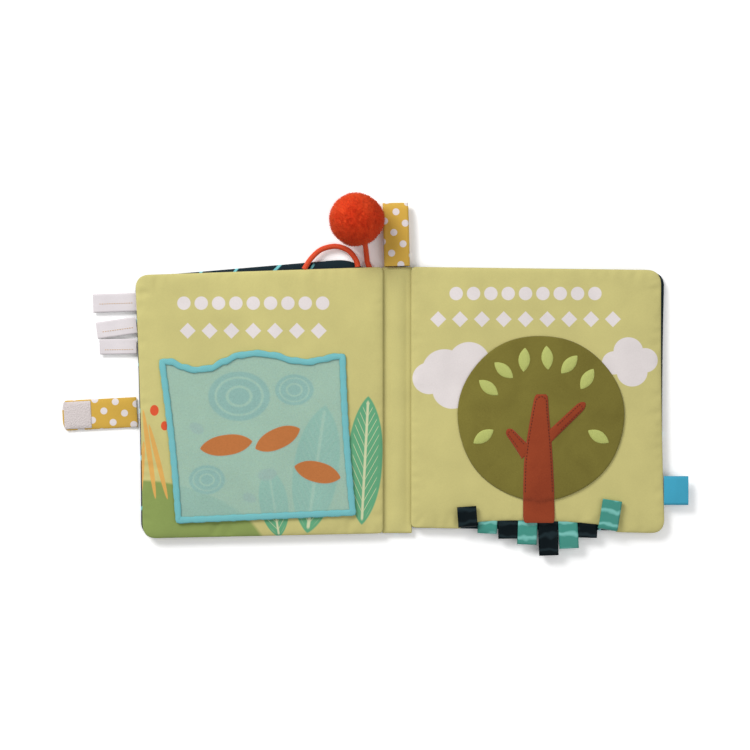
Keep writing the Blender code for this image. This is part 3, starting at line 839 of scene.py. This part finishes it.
# Threads: short rounded stitches laid along a line
def stitchLine(name, points, length, gap, radius, mat, body, slot):
    bm = bmesh.new()
    points = [Vector(p) for p in points]
    spans = [(b - a).length for a, b in zip(points, points[1:])]
    total = sum(spans)

    def along(distance):
        for a, b, span in zip(points, points[1:], spans):
            if distance <= span:
                return a.lerp(b, distance / span), (b - a).normalized()
            distance -= span
        return points[-1], (points[-1] - points[-2]).normalized()

    count = int(total / (length + gap))
    for i in range(count):
        place, direction = along((i + 0.5) * (length + gap))
        turn = Vector((1, 0, 0)).rotation_difference(direction).to_matrix().to_4x4()
        size = Matrix.Diagonal((length / 2, radius, radius * 0.8, 1))
        bmesh.ops.create_icosphere(bm, subdivisions=1, radius=1.0,
                                   matrix=Matrix.Translation(place) @ turn @ size)
    obj = addMesh(name, bm, mat)
    finishPiece(obj, body, slot)
    return obj


# Height of a piece's top at x and y, or miss where the piece has none
def topOf(obj, miss, lift):
    mesh = obj.data
    tree = BVHTree.FromPolygons([v.co[:] for v in mesh.vertices], [p.vertices[:] for p in mesh.polygons])

    def level(x, y):
        hit = tree.ray_cast(Vector((x, y, 0.2)), Vector((0, 0, -1)))
        return (hit[0].z if hit[0] else miss) + lift

    return level


def laidOn(obj, points, lift):
    level = topOf(obj, pageTop, lift)
    return [(x, y, level(x, y)) for x, y in points]


# Unit vectors along a heading and to its left
def headingAxes(degrees):
    forward = Vector((math.cos(math.radians(degrees)), math.sin(math.radians(degrees))))
    return forward, Vector((-forward.y, forward.x))


# Pond flap: a sheer sheet with a rolled, overlocked hem
flap = {
    "corners": ((mm(-172.5), mm(-96)), (mm(-185.5), mm(32.4)), (mm(-40), mm(36.4)), (mm(-32), mm(-90))),
    "hemWidth": mm(5.0),
    # how far the top edge rises above the line between its corners, in millimetres
    "wave": ((0, 0), (0.05, -0.3), (0.115, -4.6), (0.18, -7.2), (0.27, -6.2), (0.345, -1.2), (0.42, 3.2),
             (0.525, 4.5), (0.615, 2.6), (0.73, -2.1), (0.81, -3.6), (0.885, -1.9), (0.96, 0.2), (1, 0)),
    "low": mm(10.2), "panel": mm(0.35), "cells": 60,
    "ripple": mm(0.55), "hemFlat": 0.26, "flat": (mm(142), mm(117)),
}


def topWave(u):
    for low, high in zip(flap["wave"], flap["wave"][1:]):
        if u <= high[0]:
            share = (u - low[0]) / (high[0] - low[0])
            share = share * share * (3 - 2 * share)
            return mm(low[1] + (high[1] - low[1]) * share)
    return 0.0


# Place on the flap for u across and v up, each from 0 to 1; its top edge waves
def flapPlace(u, v, inset=0.0):
    lowLeft, topLeft, topRight, lowRight = (Vector(c) for c in flap["corners"])
    wave = topWave(u)
    bottom = lowLeft.lerp(lowRight, u)
    top = topLeft.lerp(topRight, u) + Vector((0, wave))
    bow = mm(1.5) * math.sin(math.pi * v)
    place = bottom.lerp(top, v)
    place.y += topWave(u) * (v * v - v)
    place.x += bow * (1 - 2 * u) * 0.8
    place.x += inset * (1 - 2 * u)
    place.y += inset * (1 - 2 * v)
    return place


def flapLift(x, y):
    slow = noise.noise(Vector((x * 24, y * 24, 2.3)))
    fine = noise.noise(Vector((x * 70, y * 30, 7.1)))
    return flap["ripple"] * (0.5 + slow * 0.7 + fine * 0.25)


def makeFlap():
    cells = flap["cells"]
    bm = bmesh.new()
    bmesh.ops.create_grid(bm, x_segments=cells, y_segments=cells, size=1.0)
    for vert in bm.verts:
        place = flapPlace((vert.co.x + 1) / 2, (vert.co.y + 1) / 2, flap["hemWidth"] * 0.6)
        vert.co = (place.x, place.y, flap["low"] + mm(0.15) + flapLift(place.x, place.y))
    panel = addMesh("pond_sheer", bm, mats["sheer"])
    thick = panel.modifiers.new("thickness", "SOLIDIFY")
    thick.thickness = flap["panel"]
    applyAll(panel)
    panel.data.shade_smooth()

    fine = 150
    edge = [flapPlace(i / fine, 0, flap["hemWidth"] / 2) for i in range(fine)]
    edge += [flapPlace(1, i / fine, flap["hemWidth"] / 2) for i in range(fine)]
    edge += [flapPlace(1 - i / fine, 1, flap["hemWidth"] / 2) for i in range(fine)]
    edge += [flapPlace(0, 1 - i / fine, flap["hemWidth"] / 2) for i in range(fine)]
    curve = bpy.data.curves.new("hemLine", "CURVE")
    curve.dimensions = "3D"
    curve.bevel_depth = flap["hemWidth"] / 2
    curve.bevel_resolution = 4
    spline = curve.splines.new("POLY")
    spline.points.add(len(edge) - 1)
    spline.use_cyclic_u = True
    for i, (point, place) in enumerate(zip(spline.points, edge)):
        point.co = (place.x, place.y, 0, 1)
        point.radius = 1 + 0.07 * math.sin(i * 0.43) + 0.04 * math.sin(i * 0.97)
    line = addObject("hemLine", curve)
    graph = bpy.context.evaluated_depsgraph_get()
    mesh = bpy.data.meshes.new_from_object(line.evaluated_get(graph))
    bpy.data.objects.remove(line)
    hem = addObject("pond_rolled_hem", mesh)
    mesh.materials.clear()
    mesh.materials.append(mats["hem"])
    for vert in mesh.vertices:
        level = flap["low"] + mm(0.85) + flapLift(vert.co.x, vert.co.y) * 0.6
        vert.co.z = level + vert.co.z * flap["hemFlat"]
    mesh.shade_smooth()
    finishPiece(panel, "pond_flap", "sheer_aqua", "pond_panel")
    finishPiece(hem, "pond_flap", "aqua_thread", "pond_hem")
    print("pond flap ready")


# Tree flap: padded crown, sewn trunk, branches and leaves
tree = {"centre": (mm(111.8), mm(-13.8)), "radii": (mm(65), mm(64.4)), "low": mm(10.2), "thick": mm(3.2)}
trunk = {
    # height, left and right edge in millimetres, from the foot up
    "outline": ((-95.6, 99.8, 121.5), (-94.4, 98.6, 122.4), (-90.7, 98.0, 122.8), (-67.6, 97.9, 122.2),
                (-48.8, 98.4, 121.2), (-31.4, 100.5, 120.1), (-9.7, 104.2, 118.0), (0.4, 106.2, 117.5),
                (3.4, 107.2, 117.0), (4.6, 108.6, 115.8)),
    "thick": mm(1.5), "inset": mm(1.7), "stitchFrom": mm(-72),
}
branches = {
    "branch_left": {"line": ((mm(101.5), mm(-42)), (mm(85.6), mm(-22.6))), "half": (mm(6.2), mm(3.3))},
    "branch_right": {"line": ((mm(116.2), mm(-30.5)), (mm(146.2), mm(-1.8))), "half": (mm(4.2), mm(3.5))},
}
sprigs = {"angles": (40, 62, 84, 106, 128, 150, 198, 342), "ring": mm(47), "half": (mm(9.3), mm(4.6)),
          "thick": mm(1.0)}


# A flat padded patch: place(u, v) gives x, y and base(x, y) the height it lies at
def makePad(name, place, base, thick, cells, mat, edge=0.35, power=6, lumps=0.0, seed=0):
    bm, grid, twin, rims = doubleGrid(cells)
    for vert in grid:
        u, v = vert.co.x, vert.co.y
        x, y = place(u, v)
        low = base(x, y)
        full = (1 - abs(u) ** power) * (1 - abs(v) ** power)
        wave = lumps * noise.noise(Vector((x * 45, y * 45, seed))) * full
        twin[vert].co = (x, y, low)
        vert.co = (x, y, low + thick * (edge + (1 - edge) * full) + wave)
    obj = sewShut(name, bm, rims, mat)
    smoothOut(obj)
    return obj


def crownPlace(u, v):
    ru, rv = roundedPlace(u, v, roundCorners)
    angle = math.atan2(rv, ru)
    wobble = 1 + 0.006 * math.sin(3 * angle + 0.6) + 0.004 * math.sin(7 * angle)
    return (tree["centre"][0] + ru * tree["radii"][0] * wobble,
            tree["centre"][1] + rv * tree["radii"][1] * wobble)


roundCorners = {key: mm(100) for key in ((False, False), (False, True), (True, False), (True, True))}


def trunkEdges(y):
    rows = trunk["outline"]
    y = min(max(y * 1000, rows[0][0]), rows[-1][0])
    for low, high in zip(rows, rows[1:]):
        if y <= high[0]:
            share = (y - low[0]) / (high[0] - low[0])
            return mm(low[1] + (high[1] - low[1]) * share), mm(low[2] + (high[2] - low[2]) * share)
    return mm(rows[-1][1]), mm(rows[-1][2])


# A branch tapers from the trunk and ends round
def branchPlace(plan, u, v):
    first, last = (Vector(p) for p in plan["line"])
    side = Vector((first.y - last.y, last.x - first.x)).normalized()
    share = (v + 1) / 2
    half = plan["half"][0] + (plan["half"][1] - plan["half"][0]) * share ** 0.7
    end = max(0.0, share - 0.84) / 0.16
    return first.lerp(last, share) + side * u * max(half * math.sqrt(max(0, 1 - end * end)), mm(0.4))


def makeTree():
    crown = makePad("tree_velour", crownPlace, lambda x, y: tree["low"], tree["thick"], (64, 64),
                    mats["velour"], edge=0.40, power=5, lumps=mm(0.35), seed=4)
    finishPiece(crown, "tree_flap", "moss_velour", "tree_crown")
    level = topOf(crown, tree["low"], mm(-0.15))

    def trunkPlace(u, v):
        rows = trunk["outline"]
        y = mm(rows[0][0] + (rows[-1][0] - rows[0][0]) * (math.sin(v * math.pi / 2) + 1) / 2)
        left, right = trunkEdges(y)
        return left + (right - left) * (u + 1) / 2, y

    made = makePad("trunk_velour", trunkPlace, level, trunk["thick"], (14, 70), mats["bark"], seed=8,
                   lumps=mm(0.2))
    finishPiece(made, "tree_flap", "rust_velour", "tree_trunk")
    # Stitches along the trunk's inset line; their dark colour also paints the shade of the groove there
    heights = [trunk["stitchFrom"] + i * mm(3) for i in range(25)]
    left = [(trunkEdges(y)[0] + trunk["inset"], y) for y in heights]
    right = [(trunkEdges(y)[1] - trunk["inset"], y) for y in reversed(heights)]
    bend = [(mm(109.6), mm(2.2)), (mm(112), mm(3.0)), (mm(114.4), mm(2.2))]
    seam = laidOn(made, left + bend + right, mm(0.05))
    stitchLine("trunk_stitching", seam, mm(2.0), mm(0.5), mm(0.42), mats["barkStitchAndGrooveShade"], "tree_flap",
               "rust_velour")
    for key, plan in branches.items():
        made = makePad(key + "_velour", lambda u, v: branchPlace(plan, u, v), level, mm(1.2), (10, 26),
                       mats["bark"], seed=9)
        finishPiece(made, "tree_flap", "rust_velour", key)
        sides = ((-0.55, range(-4, 9)), (0.55, range(8, -5, -1)))
        seam = [branchPlace(plan, side, v / 10) for side, run in sides for v in run]
        seam = laidOn(made, seam, mm(0.05))
        # Branch stitches in the same dark thread, which also paints the groove's shade
        stitchLine(key + "_stitching", seam, mm(1.8), mm(0.5), mm(0.35), mats["barkStitchAndGrooveShade"], "tree_flap",
                   "rust_velour")
    for i, degrees in enumerate(sprigs["angles"]):
        turn = math.radians(degrees)
        middle = Vector(tree["centre"]) + Vector((math.cos(turn), math.sin(turn))) * sprigs["ring"]
        lean = turn + math.radians((18, -14, 10, -20, 12, -8, 16, -12)[i])

        def leafPlace(u, v):
            along = u * sprigs["half"][0]
            wide = sprigs["half"][1] * math.cos(u * math.pi / 2) ** 0.75
            side = v * max(wide, mm(0.15))
            return (middle.x + along * math.cos(lean) - side * math.sin(lean),
                    middle.y + along * math.sin(lean) + side * math.cos(lean))

        made = makePad("leaf_stitched_%d" % (i + 1), leafPlace, level, sprigs["thick"], (16, 10),
                       mats["sprig"], edge=0.3, power=3)
        finishPiece(made, "tree_flap", "lime_thread", "sewn_leaf_%d" % (i + 1))
    print("tree ready")


# Tape: a band laid along a profile of (distance, height), then given its thickness
# Returns the object and the length of its tape
def makeTape(name, root, heading, width, profile, thick, mat, cup=0.0, skew=0.0, cells=10):
    line = smoothLine([(mm(a), mm(b)) for a, b in profile])
    forward, side = headingAxes(heading)
    bm = bmesh.new()
    bmesh.ops.create_grid(bm, x_segments=len(line) - 1, y_segments=cells, size=1.0)
    for vert in bm.verts:
        i = round((vert.co.x + 1) / 2 * (len(line) - 1))
        across = vert.co.y
        distance, height = line[i]
        lean = skew * (i / (len(line) - 1) - 0.5)
        place = Vector(root) + forward * (distance + lean * across * width) + side * across * width / 2
        uneven = noise.noise(Vector((place.x * 120, place.y * 120, i * 0.15)))
        vert.co = (place.x, place.y, height + cup * (1 - across * across) + mm(0.12) * uneven)
    obj = addMesh(name, bm, mat)
    solid = obj.modifiers.new("thickness", "SOLIDIFY")
    solid.thickness = thick
    solid.offset = 0
    applyAll(obj)
    obj.data.shade_smooth()
    return obj, sum((b - a).length for a, b in zip(line, line[1:]))


ribbons = {"first": mm(55), "step": mm(15.6), "width": mm(15), "thick": mm(0.4), "height": 7.3,
           "drops": (None, 9.5, 14, 18.5, 26.5, 20.5, 11, None),
           "back": {0: 13.5, 7: 21}, "leans": (4, -3, 1, -2, 2, 3, -2, -9)}


# The right page's lower edge
def lowerEdge(x):
    corners = leaves["right_page"]["corners"]
    share = (x - corners[0][0]) / (corners[3][0] - corners[0][0])
    y = corners[0][1] + (corners[3][1] - corners[0][1]) * share
    if pullSpan[0] < x < pullSpan[1]:
        along = (x - pullSpan[0]) / (pullSpan[1] - pullSpan[0])
        y += leaves["right_page"]["pull"] * math.sin(math.pi * along) ** 0.3
    return y


def makeRibbons():
    middle = ribbons["height"]
    for i, drop in enumerate(ribbons["drops"]):
        x = ribbons["first"] + i * ribbons["step"]
        edge = lowerEdge(x)
        name = "ribbon_satin_%d" % (i + 1)
        mat = mats["teal"] if i % 2 else mats["ink"]
        if drop is None:
            back = ribbons["back"][i]
            profile = [(-0.5, middle), (0.8, middle), (1.9, middle + 0.6), (2.2, middle + 2), (1.2, 10.8),
                       (-1.5, 11.2), (-back * 0.6, 11.2), (1.4 - back, 11.1), (-back, 12),
                       (1.4 - back, 13.1), (-back * 0.5, 12.8), (-1, 12.5), (1.6, 11.9)]
        else:
            gap = 0.9 + drop * 0.04
            profile = [(-1, middle + 0.25), (2, middle + 0.35), (drop * 0.5, middle + gap),
                       (drop - 1.4, middle + gap * 0.9), (drop - 0.3, middle),
                       (drop - 1.4, middle - gap * 0.9), (drop * 0.5, middle - gap),
                       (2, middle - 0.35), (-1, middle - 0.25)]
        obj, length = makeTape(name, (x, edge), -90 + ribbons["leans"][i], ribbons["width"], profile,
                               ribbons["thick"], mat, cup=mm(0.15))
        finishPiece(obj, "right_half", "teal_satin" if i % 2 else "ink_satin", "ribbon_loop_%d" % (i + 1))
    print("ribbons ready")


# Edge tabs, side label, closure strap and spine loop
tabs = [{"y": mm(76.5), "long": mm(33.5), "wide": mm(14.5), "lean": 2},
        {"y": mm(58.5), "long": mm(31), "wide": mm(13), "lean": 8},
        {"y": mm(42), "long": mm(28.5), "wide": mm(12), "lean": 1}]
tabRoot = mm(-203.5)
strap = {"root": (mm(-203), mm(-9.3)), "long": mm(58.5), "wide": mm(23.5), "lean": 3, "low": mm(1.3),
         "thick": mm(1.6), "patch": mm(21.5), "patchThick": mm(1.0)}
label = {"root": (mm(208), mm(-70.5)), "long": 19, "wide": mm(22.5)}
loop = {"root": (0.0, mm(104.8)), "wide": mm(20), "lean": 1.5,
        "profile": ((-0.3, 8.4), (6, 8.8), (24, 9.0), (42, 8.2), (47.2, 6.8), (48.6, 4.9), (47.2, 3.0),
                    (42, 1.7), (24, 1.1), (6, 1.3), (-0.3, 2.2))}


def loopProfile(out, middle, gap):
    return [(0, middle + 0.2), (2, middle + 0.25), (out * 0.5, middle + gap), (out - 1.2, middle + gap * 0.8),
            (out - 0.2, middle), (out - 1.2, middle - gap * 0.8), (out * 0.5, middle - gap),
            (2, middle - 0.25), (0, middle - 0.2)]


def makeTabs():
    for i, tab in enumerate(tabs):
        obj, length = makeTape("tape_tab_%d" % (i + 1), (tabRoot, tab["y"]), 180 + tab["lean"], tab["wide"],
                               loopProfile(tab["long"] * 1000, 2.5, 0.5), mm(0.35), mats["tape"])
        finishPiece(obj, "left_cover", "white_twill", "white_tab_%d" % (i + 1))
        forward, side = headingAxes(180 + tab["lean"])
        aside = tab["wide"] * (0.04, 0.12, 0.2)[i]
        first = Vector((tabRoot, tab["y"])) + side * aside
        seam = laidOn(obj, [first + forward * tab["long"] * k / 12 for k in range(1, 12)], mm(0.02))
        stitchLine("tab_stitching_%d" % (i + 1), seam, mm(1.4), mm(0.5), mm(0.34), mats["goldThread"],
                   "left_cover", "white_twill")
    print("tabs ready")


def makeLabel():
    obj, length = makeTape("blank_label", label["root"], 0, label["wide"],
                           loopProfile(label["long"], 7.3, 0.55), mm(0.35), mats["label"], cup=mm(0.3))
    finishPiece(obj, "right_half", "teal_satin", "side_label")


def makeStrap():
    forward, side = headingAxes(180 + strap["lean"])

    def bandPlace(u, v):
        round_ = 1 - 0.05 * max(0, u) ** 8 * v ** 4
        along = (u + 1) / 2 * strap["long"] * round_
        return Vector(strap["root"]) + forward * along + side * v * strap["wide"] / 2

    band = makePad("strap_cotton", bandPlace, lambda x, y: strap["low"], strap["thick"], (40, 18),
                   mats["gold"], edge=0.45, power=6, lumps=mm(0.25), seed=2)
    finishPiece(band, "strap", "gold_cotton", "closure_strap")
    level = topOf(band, strap["low"] + strap["thick"] * 0.5, mm(-0.1))

    def patchPlace(u, v):
        along = strap["long"] - mm(1.2) - strap["patch"] * (1 - u) / 2
        return Vector(strap["root"]) + forward * along + side * v * strap["patch"] / 2

    patch = makePad("hook_patch", patchPlace, level, strap["patchThick"], (16, 16), mats["hook"], edge=0.7)
    finishPiece(patch, "strap", "white_twill", "strap_patch")
    print("strap ready")


def makeLoop():
    obj, length = makeTape("loop_cotton", loop["root"], 90 + loop["lean"], loop["wide"], loop["profile"],
                           mm(1.0), mats["gold"], cup=mm(-0.2))
    finishPiece(obj, "spine_loop", "gold_cotton", "spine_loop")


# The book
for name, plan in leaves.items():
    makeLeaf(name, plan)
makeGutter()
makeFlap()
makeTree()
makeRibbons()
makeTabs()
makeLabel()
makeStrap()
makeLoop()


# CAD nodes kept as they are: the spine's cloth and the patch in its pocket
kept = {"spine_cover": "cover", "mating_patch": "hook"}
for name, mat in kept.items():
    node = bpy.data.objects[name]
    node.data.materials.clear()
    node.data.materials.append(mats[mat])


# Floor and lights
studio = {"floor": 6.0, "plain": (0.80, 0.80, 0.80), "seen": (1.30, 1.30, 1.30), "sky": 0.38}


def makeFloor():
    bm = bmesh.new()
    bmesh.ops.create_grid(bm, x_segments=2, y_segments=2, size=studio["floor"])
    mat = bpy.data.materials.new("paleFloor")
    mat.use_nodes = True
    tree = mat.node_tree
    tree.nodes.clear()
    rays = addNode(tree, "ShaderNodeLightPath").outputs
    seen = mathNode(tree, "MAXIMUM", rays["Is Camera Ray"], rays["Is Glossy Ray"])
    seen = mathNode(tree, "MAXIMUM", seen, rays["Is Transmission Ray"])
    colour = mixColour(tree, seen, (*studio["plain"], 1), (*studio["seen"], 1))
    cloth = addNode(tree, "ShaderNodeBsdfDiffuse", {"Color": colour})
    addNode(tree, "ShaderNodeOutputMaterial", {"Surface": cloth.outputs[0]})
    obj = addMesh("floor", bm, mat)
    for vert in obj.data.vertices:
        vert.co.z = -mm(0.2)


def makeLamp(name, place, size, power):
    lamp = bpy.data.lights.new(name, "AREA")
    lamp.shape = "SQUARE"
    lamp.size = size
    lamp.energy = power
    obj = addObject(name, lamp)
    obj.location = place
    aim = Vector((0, 0, 0)) - Vector(place)
    obj.rotation_euler = aim.to_track_quat("-Z", "Y").to_euler()


makeFloor()
makeLamp("keyLamp", (-1.1, 1.3, 1.3), 1.0, 34)
makeLamp("fillLamp", (1.1, -0.4, 1.7), 1.8, 11)
world = bpy.data.worlds.new("plainWorld")
world.use_nodes = True
world.node_tree.nodes["Background"].inputs[0].default_value = (1, 1, 1, 1)
rays = addNode(world.node_tree, "ShaderNodeLightPath").outputs
strength = mathNode(world.node_tree, "MAXIMUM", rays["Is Camera Ray"], studio["sky"])
world.node_tree.links.new(strength, world.node_tree.nodes["Background"].inputs[1])
scene = bpy.context.scene
scene.world = world
scene.view_settings.view_transform = "Standard"
print("stage ready")

bpy.context.view_layer.update()
